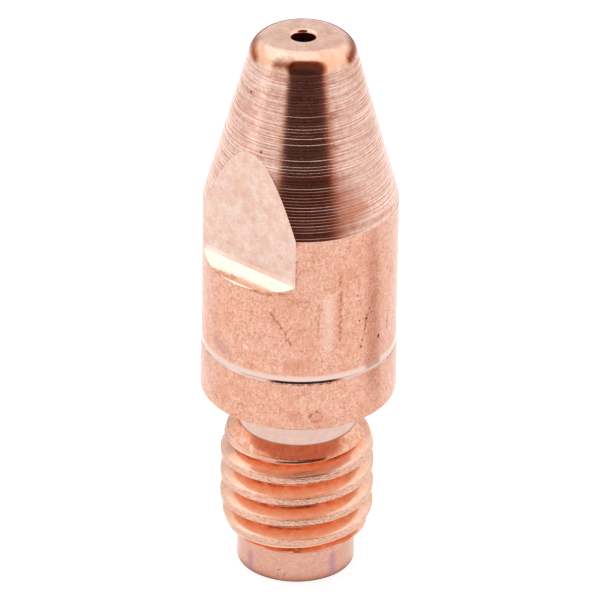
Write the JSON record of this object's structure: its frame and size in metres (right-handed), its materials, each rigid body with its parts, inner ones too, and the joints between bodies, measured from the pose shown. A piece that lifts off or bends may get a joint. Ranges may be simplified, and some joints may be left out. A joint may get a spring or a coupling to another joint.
{
  "type": "welding contact tip",
  "caption": "Turned copper contact tip with a threaded shank, a collar, a round body with wrench flats and a cone nose, bored through to guide a welding wire and pass current to it.",
  "frame": {"origin": "centre of the flat rear face, on the bore axis", "axes": "+Z along the bore from the rear face to the nose; the wrench flats face -Y and +Y"},
  "size_m": [0.01, 0.01, 0.03],
  "materials": {
    "copper": "turned and drawn bright copper alloy, unplated"
  },
  "bodies": {
    "root": {"contact_tip": "copper"}
  },
  "joints": []
}
